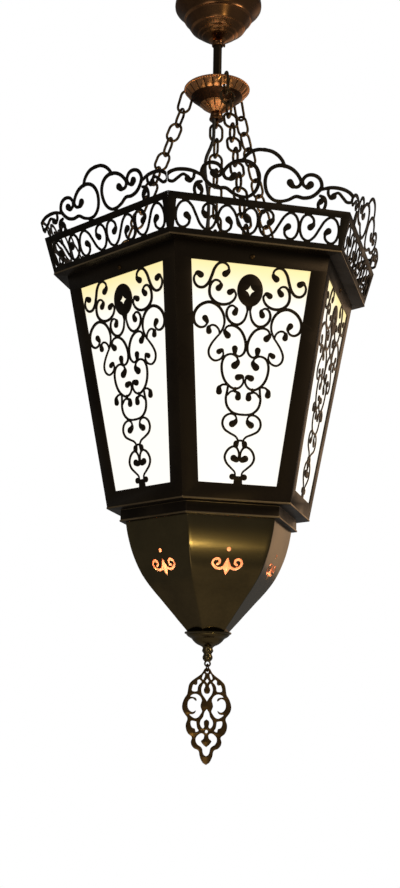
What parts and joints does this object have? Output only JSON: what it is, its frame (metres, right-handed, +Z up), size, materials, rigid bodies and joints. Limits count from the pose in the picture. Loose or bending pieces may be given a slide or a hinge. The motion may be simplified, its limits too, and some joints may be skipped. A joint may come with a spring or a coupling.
{
  "type": "pendant lantern",
  "caption": "Hexagonal pierced metal pendant lantern with opal glass sides, scroll cresting, chains to a fluted dish, a rod with ceiling canopy, a bowl and a pierced drop.",
  "frame": {"origin": "middle of the ceiling plate's top face, where the plate meets the ceiling", "axes": "+Z up into the ceiling, so the lantern hangs down -Z; -Y out of one of the six flat sides, the side with a chain in front; +X to the right seen from there"},
  "size_m": [0.4904, 0.4498, 1.0979],
  "materials": {
    "steel": "plain zinc-plated steel, hidden by the canopy",
    "bronze": "dark bronze lacquer over sheet metal, satin, worn lighter on edges",
    "dark_bronze": "blackened bronze lacquer, satin",
    "copper": "burnished copper, bright on the petals",
    "brass": "aged brass, brushed, olive brown with gold highlights",
    "rubber": "dark insulated flex",
    "opal_glass": "opal white glass, lit warm from inside",
    "porcelain": "white porcelain",
    "frosted_glass": "frosted bulb glass"
  },
  "bodies": {
    "ceiling": {"ceiling_plate": "steel", "ceiling_hook": "steel"},
    "shackle": {"suspension_link": "steel"},
    "lantern": {"rod_eye": "steel", "down_rod": "bronze", "dish": "copper", "dish_nut": "bronze", "middle_chain": "dark_bronze", "flex": "rubber", "flex_grommet": "rubber", "spider": "bronze", "lamp_cluster": "brass", "dish_link_front": "dark_bronze", "dish_link_right": "dark_bronze", "dish_link_left": "dark_bronze", "chain_front": "dark_bronze", "chain_right": "dark_bronze", "chain_left": "dark_bronze", "chain_eye_front": "dark_bronze", "chain_eye_right": "dark_bronze", "chain_eye_left": "dark_bronze", "lamp_holder_1": "porcelain", "lamp_holder_2": "porcelain", "lamp_holder_3": "porcelain", "bulb_1": "frosted_glass", "bulb_2": "frosted_glass", "bulb_3": "frosted_glass", "gallery_panel_1": "dark_bronze", "gallery_panel_2": "dark_bronze", "gallery_panel_3": "dark_bronze", "gallery_panel_4": "dark_bronze", "gallery_panel_5": "dark_bronze", "gallery_panel_6": "dark_bronze", "side_panel_1": "bronze", "side_panel_2": "bronze", "side_panel_3": "bronze", "side_panel_4": "bronze", "side_panel_5": "bronze", "side_panel_6": "bronze", "glass_pane_1": "opal_glass", "glass_pane_2": "opal_glass", "glass_pane_3": "opal_glass", "glass_pane_4": "opal_glass", "glass_pane_5": "opal_glass", "glass_pane_6": "opal_glass", "panel_screw_1": "brass", "panel_screw_2": "brass", "panel_screw_3": "brass", "panel_screw_4": "brass", "panel_screw_5": "brass", "panel_screw_6": "brass", "soffit_ring": "bronze", "base_collar": "bronze", "bowl": "brass", "finial": "brass"},
    "canopy": {"canopy": "bronze", "canopy_collar": "bronze", "canopy_screw": "brass"},
    "drop_ring": {"drop_ring": "brass"},
    "drop": {"drop": "dark_bronze"}
  },
  "joints": [
    {"name": "link_swing", "type": "hinge", "parent": "ceiling", "child": "shackle", "pos_m": [0, 0, -0.021], "axis": [1, 0, 0], "range_deg": [-3, 3]},
    {"name": "lantern_swing", "type": "hinge", "parent": "shackle", "child": "lantern", "pos_m": [0, 0, -0.0403], "axis": [0, 1, 0], "range_deg": [-3, 3]},
    {"name": "canopy_slide", "type": "slide", "parent": "lantern", "child": "canopy", "axis": [0, 0, 1], "range_m": [-0.04, 0]},
    {"name": "ring_swing", "type": "hinge", "parent": "lantern", "child": "drop_ring", "pos_m": [0, 0, -0.9697], "axis": [1, 0, 0], "range_deg": [-50, 50]},
    {"name": "drop_swing", "type": "hinge", "parent": "drop_ring", "child": "drop", "pos_m": [0, 0, -0.9762], "axis": [0, 1, 0], "range_deg": [-30, 30]}
  ]
}
